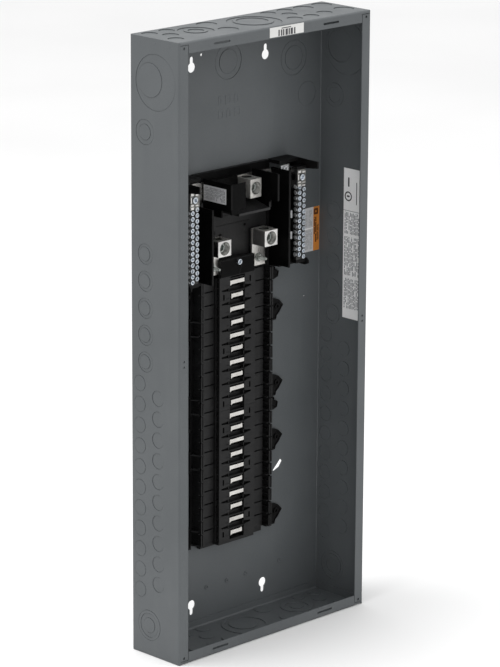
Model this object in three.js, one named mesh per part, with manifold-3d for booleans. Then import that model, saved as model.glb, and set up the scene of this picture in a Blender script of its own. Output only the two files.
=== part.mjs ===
// Residential load centre: an indoor main-lug distribution panel with its cover off.
// A folded steel box holds a plug-on breaker interior: two moulded base modules over two
// aluminium bus bars, a lug block with three cable lugs, and two neutral bars on a cross strap.
//
// Millimetres, +Z up, +X to the right, +Y into the wall. Inside this file a depth is measured
// from the wall towards the room, so depth d lies at y = -d. Heights are from the box's bottom
// edge, and the whole group is lowered at the end, so that the origin is the centre of the back.

import * as THREE from 'three';
import { mergeVertices } from 'three/addons/utils/BufferGeometryUtils.js';
import Module from 'manifold-3d';

const wasm = await Module();
wasm.setup();

// ---- Driving dimensions -------------------------------------------------------------------

const GAP = 0.3;                 // clearance between pieces that touch
const SHEET = 1.5;               // box steel thickness
const BOX_WIDTH = 362;
const BOX_HEIGHT = 860.5;
const BOX_DEPTH = 94;
const SIDE_FLANGE = 16.5;        // width of the box's folded front edge
const END_FLANGE = 15.5;
const WELD_TAB = 12;

const FLOOR = SHEET + GAP;       // depth at which the inner pieces start
const KEYHOLE_X = 70;
const KEYHOLE_LOW_Z = 36;
const KEYHOLE_HIGH_Z = 800.7;
const KEYHOLE_RADIUS = 7;
const KEYHOLE_SLOT = 6.5;
const KEYHOLE_RUN = 11.7;        // from the round part's centre to the slot's end centre
const COVER_SLOT_X = 103;
const COVER_SLOT_LENGTH = 30;
const COVER_SLOT_WIDTH = 3;
const COVER_EDGE = 8.3;          // cover slots and corner holes, from the box's end
const CORNER_HOLE_X = 172;
const CORNER_HOLE_RADIUS = 1.9;

const PITCH = 19.05;             // one breaker pole
const ROWS = 10;                 // rows of stabs in one base module
const MODULE_HEIGHT = PITCH * ROWS;
const MODULE_LOW_Z = 124.4;
const BASE_TOP = 20;             // depth of the ridge and the rails
const BASE_FLOOR = 8;
const WALL = 2.5;                // moulded wall thickness
const RIDGE_HALF = 34.5;
const RAIL_INNER = 63.3;
const RAIL_OUTER = 69.2;
const EAR_HEIGHTS = [10, 121.5];
const HOOK_HEIGHT = 177;
const EAR_REACH = 105;
const HOOK_REACH = 96;

const BUS_LOW = 12.4;            // depths of the bus bars' two faces
const BUS_HIGH = 15.4;
const BUS_INNER = 15;
const BUS_OUTER = 30;
const STAB_TOP = 19.5;
const STAB_HALF_HEIGHT = 2.6;
const STAB_HALF_WIDE = 13.5;
const STAB_HALF_NARROW = 10.8;
const LUG_X = 44.6;              // centre of the line lugs
const LUG_PAD_HALF = 12.6;
const LUG_PAD_LOW_Z = 510;
const LUG_PAD_HIGH_Z = 564;
const LUG_Z = 553;
const STUD_Z = 521.5;

const HEAD_LOW_Z = 505.2;
const HEAD_HIGH_Z = 654;
const HEAD_HALF = 72;
const COVER_BLOCK = { left: -33.5, right: 30.5, high: 22, topZ: 530.5 };   // over the bus, between lugs
const HOLD_SCREW_Z = 524;        // screw that holds the interior through the cover block
const LINK_TOP_Z = 527;          // top edge of the bus where it reaches its lug pad
const SHELF_Z = 596;             // shelf between the neutral lug and the line lugs
const SHELF_HIGH = 47.8;

const STRAP_LOW = BASE_FLOOR + GAP;
const STRAP_HIGH = STRAP_LOW + 3;
const STRAP_LOW_Z = 614;
const STRAP_HIGH_Z = 642;
const STRAP_RISE_X = 80;         // where the strap steps forward to the neutral bars
const STRAP_END_X = 104;
const STRAP_END_HIGH = 27;       // depth of the strap's face under a bar
const STRAP_END_TOP_Z = 648;
const STRAP_SCREWS = [-38, 52];
const STRAP_MID_Z = 628;

const BAR_X = 102.3;             // centre of a neutral bar
const BAR_HALF = 8.5;
const BAR_LOW = STRAP_END_HIGH + GAP;
const BAR_HIGH = 40.5;
const BAR_LOW_Z = 513;
const BAR_HIGH_Z = 641.5;
const TERMINAL_PITCH = 8;
const TERMINALS = 13;
const TERMINAL_LOW_Z = 516.5;
const TERMINAL_COLUMN = 4.2;     // the two screw columns stand this far off the bar's centre
const TERMINAL_RADIUS = 2.8;
const BIG_TERMINAL_Z = 630;
const BIG_BORE_RADIUS = 4.5;
const BIG_SCREW_RADIUS = 4.4;

const BARRIER_X = 73.55;         // side barriers between the lugs and the neutral bars
const NEUTRAL_LUG_X = 15;
const NEUTRAL_WALLS = { left: -58.4, right: 35 };   // left faces of the walls round the neutral lug
const NEUTRAL_WALL_HIGH = { left: 67, right: 62 };
const NEUTRAL_WALL_Z = { low: 599.1, front: 609.6, top: 648 };
const PANEL_INNER_X = -31.2;     // the left wall's front panel ends here

// ---- Materials ----------------------------------------------------------------------------

const finishes = {
  paint: { color: 0x6b6f72, roughness: 0.55, metalness: 0.1 },
  plastic: { color: 0x17181a, roughness: 0.5, metalness: 0 },
  tinned: { color: 0xb9b6ae, roughness: 0.35, metalness: 0.9 },
  aluminium: { color: 0xb4b3ae, roughness: 0.45, metalness: 0.85 },
  zinc: { color: 0xa9adb0, roughness: 0.4, metalness: 0.9 },
  label: { color: 0xd7d7d2, roughness: 0.8, metalness: 0 },
};

// ---- Solids -------------------------------------------------------------------------------

function solid(geometry) {
  geometry.deleteAttribute('normal');
  geometry.deleteAttribute('uv');
  const merged = mergeVertices(geometry);
  const vertProperties = new Float32Array(merged.attributes.position.array);
  const triVerts = new Uint32Array(merged.index.array);
  return new wasm.Manifold(new wasm.Mesh({ numProp: 3, vertProperties, triVerts }));
}

function join(solids) {
  return solids.reduce((whole, piece) => whole.add(piece));
}

function cut(body, tools) {
  return tools.reduce((left, tool) => left.subtract(tool), body);
}

function toGeometry(body) {
  const { vertProperties, triVerts } = body.getMesh();
  const geometry = new THREE.BufferGeometry();
  geometry.setAttribute('position', new THREE.BufferAttribute(vertProperties, 3));
  geometry.setIndex(new THREE.BufferAttribute(triVerts, 1));
  geometry.computeVertexNormals();
  return geometry;
}

// A block between two x values, two depths and two heights, each pair in any order.
function block(x0, x1, d0, d1, z0, z1) {
  const geometry = new THREE.BoxGeometry(Math.abs(x1 - x0), Math.abs(d1 - d0), Math.abs(z1 - z0));
  geometry.translate((x0 + x1) / 2, -(d0 + d1) / 2, (z0 + z1) / 2);
  return solid(geometry);
}

function rodInDepth(x, z, radius, d0, d1, sides = 16) {
  const geometry = new THREE.CylinderGeometry(radius, radius, d1 - d0, sides);
  geometry.translate(x, -(d0 + d1) / 2, z);
  return solid(geometry);
}

function rodUp(x, depth, radius, z0, z1, sides = 16) {
  const geometry = new THREE.CylinderGeometry(radius, radius, z1 - z0, sides);
  geometry.rotateX(Math.PI / 2);
  geometry.translate(x, -depth, (z0 + z1) / 2);
  return solid(geometry);
}

function rodAcross(depth, z, radius, x0, x1, sides = 16) {
  const geometry = new THREE.CylinderGeometry(radius, radius, Math.abs(x1 - x0), sides);
  geometry.rotateZ(Math.PI / 2);
  geometry.translate((x0 + x1) / 2, -depth, z);
  return solid(geometry);
}

// A plate parallel to the wall, from an outline of [x, z] points, between two depths.
function plate(outline, d0, d1) {
  const shape = new THREE.Shape(outline.map(([x, z]) => new THREE.Vector2(x, z)));
  const geometry = new THREE.ExtrudeGeometry(shape, { depth: d1 - d0, bevelEnabled: false });
  geometry.rotateX(Math.PI / 2);
  geometry.translate(0, -d0, 0);
  return solid(geometry);
}

// A wall parallel to the box's sides, from an outline of [depth, z] points, between two x values.
function wallAcross(outline, x0, x1) {
  const shape = new THREE.Shape(outline.map(([d, z]) => new THREE.Vector2(d, z)));
  const thickness = Math.abs(x1 - x0);
  const geometry = new THREE.ExtrudeGeometry(shape, { depth: thickness, bevelEnabled: false });
  geometry.rotateX(Math.PI / 2);
  geometry.rotateZ(-Math.PI / 2);
  geometry.translate(Math.min(x0, x1) + thickness, 0, 0);
  return solid(geometry);
}

function mesh(name, finish, body) {
  const piece = new THREE.Mesh(toGeometry(body), new THREE.MeshStandardMaterial(finishes[finish]));
  piece.name = name;
  return piece;
}

const SIDES = [
  { side: 'left', sign: -1 },
  { side: 'right', sign: 1 },
];

// ---- Box ----------------------------------------------------------------------------------

function keyhole(x, z, direction) {
  const through = [-1, SHEET + 1];
  const end = z + direction * KEYHOLE_RUN;
  return join([
    rodInDepth(x, z, KEYHOLE_RADIUS, ...through, 24),
    rodInDepth(x, end, KEYHOLE_SLOT / 2, ...through, 12),
    block(x - KEYHOLE_SLOT / 2, x + KEYHOLE_SLOT / 2, ...through, z, end),
  ]);
}

function boxWrapSection() {
  const half = BOX_WIDTH / 2;
  const inner = half - SHEET;
  const lip = half - SIDE_FLANGE;
  const front = BOX_DEPTH;
  const behind = BOX_DEPTH - SHEET;
  const rightHalf = [[half, 0], [half, front], [lip, front], [lip, behind], [inner, behind], [inner, SHEET]];
  const leftHalf = rightHalf.map(([x, d]) => [-x, d]).reverse();
  return [...rightHalf, ...leftHalf].map(([x, d]) => new THREE.Vector2(x, -d));
}

function boxWrap() {
  const section = new THREE.Shape(boxWrapSection());
  const body = solid(new THREE.ExtrudeGeometry(section, { depth: BOX_HEIGHT, bevelEnabled: false }));
  const holes = [];
  for (const { sign } of SIDES) {
    holes.push(keyhole(sign * KEYHOLE_X, KEYHOLE_HIGH_Z, 1));
    holes.push(keyhole(sign * KEYHOLE_X, KEYHOLE_LOW_Z, -1));
    for (const z of [COVER_EDGE, BOX_HEIGHT - COVER_EDGE]) {
      holes.push(rodInDepth(sign * CORNER_HOLE_X, z, CORNER_HOLE_RADIUS, BOX_DEPTH - 3, BOX_DEPTH + 1, 12));
    }
  }
  return cut(body, holes);
}

// The bottom end wall, its outer face at z = 0. The top one is the same piece turned over.
function boxEndWall() {
  const wide = BOX_WIDTH / 2 - SHEET - GAP;
  const lip = BOX_WIDTH / 2 - SIDE_FLANGE - GAP;
  const behind = BOX_DEPTH - SHEET - GAP;
  const body = join([
    block(-wide, wide, FLOOR, behind, 0, SHEET),
    block(-lip, lip, FLOOR, BOX_DEPTH, 0, SHEET),
    block(-lip, lip, BOX_DEPTH - SHEET, BOX_DEPTH, 0, END_FLANGE),
    block(-lip, lip, FLOOR, FLOOR + SHEET, 0, WELD_TAB),
    block(wide - SHEET, wide, FLOOR + 6, behind - 6, 0, WELD_TAB),
    block(-wide, -wide + SHEET, FLOOR + 6, behind - 6, 0, WELD_TAB),
  ]);
  const slots = SIDES.map(({ sign }) => block(
    sign * COVER_SLOT_X - COVER_SLOT_LENGTH / 2, sign * COVER_SLOT_X + COVER_SLOT_LENGTH / 2,
    BOX_DEPTH - 3, BOX_DEPTH + 1,
    COVER_EDGE - COVER_SLOT_WIDTH / 2, COVER_EDGE + COVER_SLOT_WIDTH / 2,
  ));
  return cut(body, slots);
}

// ---- Plug-on base -------------------------------------------------------------------------

// A pointed foot that rests on the back of the box beside the rail, with a locating hole.
function ear(sign, z, reach, rise, drop) {
  const root = RAIL_OUTER - 1;
  const outline = [
    [root, z + rise], [reach - 9, z + rise - 3], [reach, z + 4], [reach - 8, z - 6], [root, z - drop],
  ];
  const points = sign > 0 ? outline : outline.map(([x, y]) => [-x, y]).reverse();
  const tab = plate(points, FLOOR, FLOOR + 3);
  return tab.subtract(rodInDepth(sign * (reach - 12), z + 4, 2, 0, FLOOR + 4, 12));
}

function baseSide(sign) {
  const ribs = [];
  for (let row = 0; row < ROWS; row += 1) {
    const z = row * PITCH;
    ribs.push(block(sign * RIDGE_HALF, sign * RAIL_INNER, BASE_FLOOR - 1, BASE_FLOOR + 1, z, z + 1.2));
    const middle = z + PITCH / 2;
    ribs.push(block(sign * (RAIL_INNER - 3), sign * RAIL_INNER, BASE_FLOOR - 1, 17, middle - 1, middle + 1));
  }
  const top = MODULE_HEIGHT - GAP;
  return join([
    block(sign * (RIDGE_HALF - 1), sign * (RAIL_INNER + 1), BASE_FLOOR - WALL, BASE_FLOOR, 0, top),
    block(sign * RAIL_INNER, sign * RAIL_OUTER, FLOOR, BASE_TOP, 0, top),
    ear(sign, EAR_HEIGHTS[0], EAR_REACH, 15, 10),
    ear(sign, EAR_HEIGHTS[1], EAR_REACH, 15, 20),
    ear(sign, HOOK_HEIGHT, HOOK_REACH, 11, 12),
    ...ribs,
  ]);
}

function baseRidge() {
  const inner = RIDGE_HALF - WALL;
  const top = MODULE_HEIGHT - GAP;
  const shell = cut(block(-RIDGE_HALF, RIDGE_HALF, FLOOR, BASE_TOP, 0, top), [
    block(-inner, inner, 0, BASE_TOP - WALL, -1, top + 1),
  ]);
  const seat = BUS_LOW - GAP;
  const supports = [0, top - WALL].map((z) => block(-inner - 1, inner + 1, FLOOR, seat, z, z + WALL));
  const windows = [];
  for (let row = 0; row < ROWS; row += 1) {
    const z = (row + 0.5) * PITCH;
    windows.push(block(-15, 15, BASE_TOP - WALL - 1, BASE_TOP + 1, z - 4.6, z + 4.6));
  }
  return cut(join([shell, ...supports]), windows);
}

function baseModule() {
  return join([baseRidge(), baseSide(-1), baseSide(1)]);
}

function busEndCap() {
  const top = MODULE_LOW_Z - GAP;
  return join([
    block(-RAIL_INNER + 3, RAIL_INNER - 3, FLOOR, BASE_FLOOR, top - 6.5, top),
    block(-RIDGE_HALF, RIDGE_HALF, FLOOR, BASE_TOP - 1, top - 4.5, top),
  ]);
}

// ---- Bus bars and lugs --------------------------------------------------------------------

function stab(sign, row, halfWidth) {
  const z = MODULE_LOW_Z + (row + 0.5) * PITCH;
  const low = z - STAB_HALF_HEIGHT;
  const high = z + STAB_HALF_HEIGHT;
  return join([
    block(-halfWidth, halfWidth, BUS_LOW, STAB_TOP, low, high),
    block(0, sign * (BUS_INNER + 1), BUS_LOW, BUS_HIGH, low, high),
  ]);
}

// One phase: a strip under the ridge with a stab on every other row, and a pad under its lug.
function busBar(sign, firstRow, halfWidth) {
  const stabs = [];
  for (let row = firstRow; row < 2 * ROWS; row += 2) {
    stabs.push(stab(sign, row, halfWidth));
  }
  const padInner = LUG_X - LUG_PAD_HALF;
  const padOuter = LUG_X + LUG_PAD_HALF;
  const body = join([
    block(sign * BUS_INNER, sign * BUS_OUTER, BUS_LOW, BUS_HIGH, MODULE_LOW_Z + 2, LINK_TOP_Z),
    block(sign * (BUS_OUTER - 1), sign * (padInner + 1), BUS_LOW, BUS_HIGH, LUG_PAD_LOW_Z, LINK_TOP_Z),
    block(sign * padInner, sign * padOuter, BUS_LOW, BUS_HIGH, LUG_PAD_LOW_Z, LUG_PAD_HIGH_Z),
    ...stabs,
  ]);
  return cut(body, [
    rodInDepth(sign * LUG_X, LUG_Z, BOLT_HOLE_RADIUS, BUS_LOW - 1, BUS_HIGH + 1),
    rodInDepth(sign * LUG_X, STUD_Z, BOLT_HOLE_RADIUS, BUS_LOW - 1, BUS_HIGH + 1),
  ]);
}

// A box lug: the cable enters from above, the set screw comes from the front, and a bolt head
// inside the cable bore holds it down. Its rear face is at depth 0 and its middle at the origin.
const LUG_SIZES = {
  line: {
    halfWidth: 12.5, height: 22, depth: 25, bore: 7.5, boreDepth: 9.8, screw: 8.6, screwLength: 7,
  },
  neutral: {
    halfWidth: 10.6, height: 26, depth: 28.5, bore: 7.2, boreDepth: 10.2, screw: 8.2, screwLength: 8.5,
  },
};
const BOLT_HOLE_RADIUS = 3.2;
const BOLT_HEAD_RADIUS = 5;
const SCREW_RECESS = 7;          // from the lug's front face down to its set screw
const SCREW_HOLE_DROP = 3;       // how far the screw's hole passes the cable bore's centre line

function lug({ halfWidth, height, depth, bore, boreDepth, screw }) {
  const half = height / 2;
  return cut(block(-halfWidth, halfWidth, 0, depth, -half, half), [
    rodUp(0, boreDepth, bore, -half - 1, half + 1, 24),
    rodInDepth(0, 0, screw, boreDepth - SCREW_HOLE_DROP, depth + 1, 24),
    rodInDepth(0, 0, BOLT_HOLE_RADIUS, -1, boreDepth, 16),
    rodInDepth(0, 0, BOLT_HEAD_RADIUS + GAP, boreDepth - bore, boreDepth, 16),
  ]);
}

// A hex-socket set screw with its outer end at depth 0, running back into the lug.
function setScrew({ screw, screwLength }) {
  const radius = screw - GAP;
  const shank = rodInDepth(0, 0, radius, -screwLength, 0, 24);
  return shank.subtract(rodInDepth(0, 0, radius * 0.58, -screwLength / 2, 1, 6));
}

function lugBolt() {
  return join([
    rodInDepth(0, 0, BOLT_HOLE_RADIUS - GAP, -7, 1, 12),
    rodInDepth(0, 0, BOLT_HEAD_RADIUS, GAP, GAP + 3, 6),
  ]);
}

function studWithNut() {
  return join([
    rodInDepth(0, 0, 2.4, -2, 15.6, 12),
    rodInDepth(0, 0, 6.4, GAP, GAP + 1, 12),
    rodInDepth(0, 0, 5.2, GAP + 0.5, GAP + 4.2, 6),
  ]);
}

function panScrew(radius, headHeight, shankRadius, shankLength) {
  const slot = block(-radius, radius, headHeight - 0.9, headHeight + 1, -0.6, 0.6);
  const head = cut(rodInDepth(0, 0, radius, 0, headHeight, 16), [slot]);
  return join([head, rodInDepth(0, 0, shankRadius, -shankLength, 0.5, 12)]);
}

// ---- Lug block ----------------------------------------------------------------------------

function lugBase() {
  const half = HEAD_HALF;
  const { left, right, high, topZ } = COVER_BLOCK;
  const deck = block(-half, half, BASE_FLOOR - WALL, BASE_FLOOR, HEAD_LOW_Z, HEAD_HIGH_Z);
  const skirt = cut(block(-half, half, FLOOR, BASE_FLOOR, HEAD_LOW_Z, HEAD_HIGH_Z), [
    block(-half + WALL, half - WALL, 0, BASE_FLOOR + 1, HEAD_LOW_Z - 1, HEAD_HIGH_Z - WALL),
  ]);
  const pieces = [
    deck,
    skirt,
    block(left, right, BUS_HIGH + GAP, high, HEAD_LOW_Z, topZ),
    block(-12, 12, BASE_FLOOR - 1, BUS_HIGH + 1, HEAD_LOW_Z, topZ),
    block(-25.4, NEUTRAL_WALLS.right - GAP, BASE_FLOOR - 1, SHELF_HIGH, SHELF_Z, SHELF_Z + 2.8),
  ];
  for (const { sign } of SIDES) {
    const inner = sign * (LUG_X - LUG_PAD_HALF + 1);
    const outer = sign * (LUG_X + LUG_PAD_HALF - 1);
    pieces.push(block(inner, outer, BASE_FLOOR - 1, BUS_LOW - GAP, LUG_PAD_LOW_Z + 2, LUG_PAD_HIGH_Z - 2));
  }
  const holes = [
    rodInDepth(0, HOLD_SCREW_Z, 2.2, BUS_LOW, high + 1, 12),
    rodInDepth(NEUTRAL_LUG_X, STRAP_MID_Z, BOLT_HOLE_RADIUS, 0, BASE_FLOOR + 1, 12),
    ...STRAP_SCREWS.map((x) => rodInDepth(x, STRAP_MID_Z, 2.2, 0, BASE_FLOOR + 1, 12)),
  ];
  for (const { sign } of SIDES) {
    for (const z of [LUG_Z, STUD_Z]) {
      holes.push(rodInDepth(sign * LUG_X, z, BOLT_HOLE_RADIUS, 0, BUS_LOW, 12));
    }
  }
  return cut(join(pieces), holes);
}

// A wall beside the neutral lug. It stands on the strap, and its front part is cut away below.
// The left one turns inwards at the front, to keep the cable of line A behind it.
function neutralWall(side) {
  const face = NEUTRAL_WALLS[side];
  const low = STRAP_HIGH + GAP;
  const step = SHELF_HIGH;
  const front = NEUTRAL_WALL_HIGH[side];
  const { low: lowZ, front: frontZ, top: topZ } = NEUTRAL_WALL_Z;
  const wall = wallAcross(
    [[low, lowZ], [step, lowZ], [step, frontZ], [front, frontZ], [front, topZ], [low, topZ]],
    face, face + WALL,
  );
  if (side === 'right') return wall;
  const panelBack = front - WALL;
  return join([
    wall,
    block(face, PANEL_INNER_X, panelBack, front, frontZ + 1.5, topZ),
    block(face, (face + PANEL_INNER_X) / 2, panelBack, front, frontZ - 3.5, frontZ + 2),
  ]);
}

// A barrier between the lugs and a neutral bar. The right one also passes in front of the strap.
function sideBarrier(sign, highZ) {
  const x0 = sign * BARRIER_X - WALL / 2;
  const x1 = sign * BARRIER_X + WALL / 2;
  const low = STRAP_LOW_Z - GAP;
  const body = block(x0, x1, FLOOR, 47, 507, low - 1);
  if (highZ < low) return body;
  return body.add(block(x0, x1, STRAP_HIGH + GAP, 47, low - 2, highZ));
}

// ---- Neutral bars -------------------------------------------------------------------------

function neutralStrap() {
  const thickness = STRAP_HIGH - STRAP_LOW;
  const pieces = [block(-STRAP_RISE_X, STRAP_RISE_X, STRAP_LOW, STRAP_HIGH, STRAP_LOW_Z, STRAP_HIGH_Z)];
  for (const { sign } of SIDES) {
    const rise0 = sign * (STRAP_RISE_X - 0.5);
    const rise1 = sign * (STRAP_RISE_X + thickness);
    const end = [STRAP_END_HIGH - thickness, STRAP_END_HIGH];
    pieces.push(
      block(rise0, rise1, STRAP_LOW, STRAP_END_HIGH, STRAP_LOW_Z, STRAP_HIGH_Z),
      block(rise0, sign * STRAP_END_X, ...end, STRAP_LOW_Z, STRAP_HIGH_Z),
      block(rise0, sign * (BAR_X - BAR_HALF - 1), ...end, STRAP_HIGH_Z - 1, STRAP_END_TOP_Z),
    );
  }
  return cut(join(pieces), [
    rodInDepth(NEUTRAL_LUG_X, STRAP_MID_Z, BOLT_HOLE_RADIUS, STRAP_LOW - 1, STRAP_HIGH + 1, 12),
    ...STRAP_SCREWS.map((x) => rodInDepth(x, STRAP_MID_Z, 2.6, STRAP_LOW - 1, STRAP_HIGH + 1, 12)),
  ]);
}

// A neutral bar round x = 0: small screws in two staggered columns and one large terminal on top.
function neutralBar(sign) {
  const pieces = [block(-BAR_HALF, BAR_HALF, BAR_LOW, BAR_HIGH, BAR_LOW_Z, BAR_HIGH_Z)];
  for (let i = 0; i < TERMINALS; i += 1) {
    for (const column of [-1, 1]) {
      const stagger = column * sign < 0 ? TERMINAL_PITCH / 2 : 0;
      const z = TERMINAL_LOW_Z + stagger + i * TERMINAL_PITCH;
      pieces.push(rodInDepth(column * TERMINAL_COLUMN, z, TERMINAL_RADIUS, BAR_HIGH - 1, BAR_HIGH + 1.6, 8));
    }
  }
  const depth = (BAR_LOW + BAR_HIGH) / 2 - 1;
  return cut(join(pieces), [
    rodAcross(depth, BIG_TERMINAL_Z, BIG_BORE_RADIUS, -BAR_HALF - 1, BAR_HALF + 1, 20),
    rodInDepth(0, BIG_TERMINAL_Z, BIG_SCREW_RADIUS + GAP, depth - SCREW_HOLE_DROP, BAR_HIGH + 1, 20),
  ]);
}

function barHolder(sign, upper) {
  const arm0 = BAR_X + BAR_HALF + 0.5;
  const arm1 = arm0 + 2.6;
  const inner = BARRIER_X + WALL / 2 + GAP;
  const outline = upper
    ? [[FLOOR, 639], [25, 639], [62.6, 643.5], [62.6, 653], [FLOOR, 654]]
    : [[FLOOR, 503.5], [40, 503.5], [46, 506], [46, 510], [42, 514], [FLOOR, 514]];
  const arm = wallAcross(outline, sign * arm0, sign * arm1);
  const foot = upper ? [649, 654] : [503.5, 508];
  const seat = upper ? [BAR_HIGH_Z + GAP, 645] : [508, BAR_LOW_Z - GAP];
  return join([
    arm,
    block(sign * inner, sign * (arm0 + 1), FLOOR, 25, ...foot),
    block(sign * (BAR_X - BAR_HALF), sign * (arm0 + 1), 30, BAR_HIGH, ...seat),
  ]);
}

// ---- Labels -------------------------------------------------------------------------------

const LABEL = 0.25;              // printed label thickness

function labels() {
  const sideX = BOX_WIDTH / 2 - SHEET - 0.1;
  const wallX = NEUTRAL_WALLS.left - 0.1;
  const back = SHEET + 0.1;
  const front = BOX_DEPTH + 0.1;
  return [
    mesh('wiring_label', 'label', block(118, 178.6, back, back + LABEL, 507, 570.4)),
    mesh('side_label', 'label', block(sideX - LABEL, sideX, 48.5, 82, 417, 633)),
    mesh('lug_label', 'label', block(wallX - LABEL, wallX, 13.4, 57, 619, 640.5)),
    mesh('rating_sticker', 'label', block(-14.8, 49.5, front, front + LABEL, 846.3, 859.6)),
  ];
}

// ---- Assembly -----------------------------------------------------------------------------

function at(piece, x, depth, z) {
  piece.position.set(x, -depth, z);
  return piece;
}

function box() {
  const group = new THREE.Group();
  const top = at(mesh('box_top_end', 'paint', boxEndWall()), 0, 0, BOX_HEIGHT);
  top.rotation.y = Math.PI;
  group.add(mesh('box_wrap', 'paint', boxWrap()), mesh('box_bottom_end', 'paint', boxEndWall()), top);
  return group;
}

function breakerBase() {
  const group = new THREE.Group();
  const geometry = baseModule();
  group.add(
    at(mesh('base_module_lower', 'plastic', geometry), 0, 0, MODULE_LOW_Z),
    at(mesh('base_module_upper', 'plastic', geometry), 0, 0, MODULE_LOW_Z + MODULE_HEIGHT),
    mesh('bus_end_cap', 'plastic', busEndCap()),
    mesh('bus_bar_a', 'tinned', busBar(-1, 1, STAB_HALF_WIDE)),
    mesh('bus_bar_b', 'tinned', busBar(1, 0, STAB_HALF_NARROW)),
  );
  return group;
}

function lugWithHardware(name, size, x, seat, z) {
  const group = new THREE.Group();
  group.add(
    mesh(`${name}_lug`, 'aluminium', lug(size)),
    at(mesh(`${name}_lug_screw`, 'zinc', setScrew(size)), 0, size.depth - SCREW_RECESS, 0),
    at(mesh(`${name}_lug_bolt`, 'zinc', lugBolt()), 0, size.boreDepth - size.bore, 0),
  );
  return at(group, x, seat, z);
}

function lugBlock() {
  const group = new THREE.Group();
  const seat = BUS_HIGH + GAP;
  group.add(
    mesh('lug_base', 'plastic', lugBase()),
    lugWithHardware('line_a', LUG_SIZES.line, -LUG_X, seat, LUG_Z),
    lugWithHardware('line_b', LUG_SIZES.line, LUG_X, seat, LUG_Z),
    lugWithHardware('neutral', LUG_SIZES.neutral, NEUTRAL_LUG_X, STRAP_HIGH + GAP, STRAP_MID_Z),
    at(mesh('stud_a', 'zinc', studWithNut()), -LUG_X, BUS_HIGH, STUD_Z),
    at(mesh('stud_b', 'zinc', studWithNut()), LUG_X, BUS_HIGH, STUD_Z),
    at(mesh('interior_screw', 'zinc', panScrew(3.9, 2.6, 1.9, 7)), 0, COVER_BLOCK.high + GAP, HOLD_SCREW_Z),
    mesh('neutral_wall_left', 'plastic', neutralWall('left')),
    mesh('neutral_wall_right', 'plastic', neutralWall('right')),
    mesh('side_barrier_left', 'plastic', sideBarrier(-1, 613)),
    mesh('side_barrier_right', 'plastic', sideBarrier(1, 644)),
  );
  return group;
}

function neutralGroup() {
  const group = new THREE.Group();
  group.add(mesh('neutral_strap', 'tinned', neutralStrap()));
  for (const { side, sign } of SIDES) {
    group.add(
      at(mesh(`neutral_bar_${side}`, 'aluminium', neutralBar(sign)), sign * BAR_X, 0, 0),
      at(mesh(`strap_screw_${side}`, 'zinc', panScrew(5, 2.4, 1.9, 8)),
        STRAP_SCREWS[(sign + 1) / 2], STRAP_HIGH + GAP, STRAP_MID_Z),
      at(mesh(`bar_terminal_screw_${side}`, 'zinc', panScrew(BIG_SCREW_RADIUS, 3.2, 4.1, 5)),
        sign * BAR_X, BAR_HIGH - 0.5, BIG_TERMINAL_Z),
      mesh(`bar_holder_upper_${side}`, 'plastic', barHolder(sign, true)),
      mesh(`bar_holder_lower_${side}`, 'plastic', barHolder(sign, false)),
    );
  }
  return group;
}

const loadCentre = new THREE.Group();
loadCentre.add(box(), breakerBase(), lugBlock(), neutralGroup(), ...labels());
loadCentre.position.z = -BOX_HEIGHT / 2;

export default loadCentre;
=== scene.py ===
"""The looks of the residential load center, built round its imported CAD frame.

Inside this script sizes are in millimetres: x to the right, depth out from the wall towards the
room, and height above the box's bottom edge. spot() turns them into the frame's metres.
"""

import math
import random

import bmesh
import bpy
from mathutils import Matrix, Vector, geometry


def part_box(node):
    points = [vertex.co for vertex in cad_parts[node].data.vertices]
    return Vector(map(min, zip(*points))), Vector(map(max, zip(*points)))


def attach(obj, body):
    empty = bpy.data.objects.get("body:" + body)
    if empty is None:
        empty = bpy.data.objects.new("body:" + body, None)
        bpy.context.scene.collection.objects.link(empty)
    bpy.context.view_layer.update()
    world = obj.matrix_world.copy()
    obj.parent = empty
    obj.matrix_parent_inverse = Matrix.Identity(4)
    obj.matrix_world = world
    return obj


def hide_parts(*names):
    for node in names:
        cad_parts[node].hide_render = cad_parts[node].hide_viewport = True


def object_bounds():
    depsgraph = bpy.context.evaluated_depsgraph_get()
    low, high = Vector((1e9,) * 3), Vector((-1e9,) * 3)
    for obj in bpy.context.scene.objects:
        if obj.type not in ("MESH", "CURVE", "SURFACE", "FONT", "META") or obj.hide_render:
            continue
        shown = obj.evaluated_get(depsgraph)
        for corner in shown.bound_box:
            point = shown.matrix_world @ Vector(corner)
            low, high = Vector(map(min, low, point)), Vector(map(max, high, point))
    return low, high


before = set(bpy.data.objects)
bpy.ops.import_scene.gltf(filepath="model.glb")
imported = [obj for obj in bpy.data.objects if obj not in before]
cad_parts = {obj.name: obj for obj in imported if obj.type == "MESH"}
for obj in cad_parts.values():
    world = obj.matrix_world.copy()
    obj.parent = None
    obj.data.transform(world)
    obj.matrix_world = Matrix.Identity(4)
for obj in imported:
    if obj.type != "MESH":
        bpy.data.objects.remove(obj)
CAD_LOW, CAD_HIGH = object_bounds()

MM = 0.001
BOX_LOW, BOX_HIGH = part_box("box_wrap")


def spot(x, depth, height):
    """A point of this script as a point of the frame."""
    return Vector((x * MM, -depth * MM, height * MM + BOX_LOW.z))


def span(node):
    """A CAD node's box as (x0, x1, depth0, depth1, height0, height1), in millimetres."""
    low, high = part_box(node)
    base = BOX_LOW.z
    numbers = (low.x, high.x, -high.y, -low.y, low.z - base, high.z - base)
    return tuple(round(number / MM, 3) for number in numbers)


# ---- Driving dimensions ----

HALF_WIDTH = BOX_HIGH.x / MM
BOX_HEIGHT = (BOX_HIGH.z - BOX_LOW.z) / MM
BOX_DEPTH = (BOX_HIGH.y - BOX_LOW.y) / MM
SHEET = 1.5
FOLD = 2.6  # outer radius of the sheet's folds
SIDE_FLANGE = 16.5
END_FLANGE = 15.5
GAP = 0.3
FLOOR = SHEET + GAP  # depth where the inner pieces start

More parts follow.
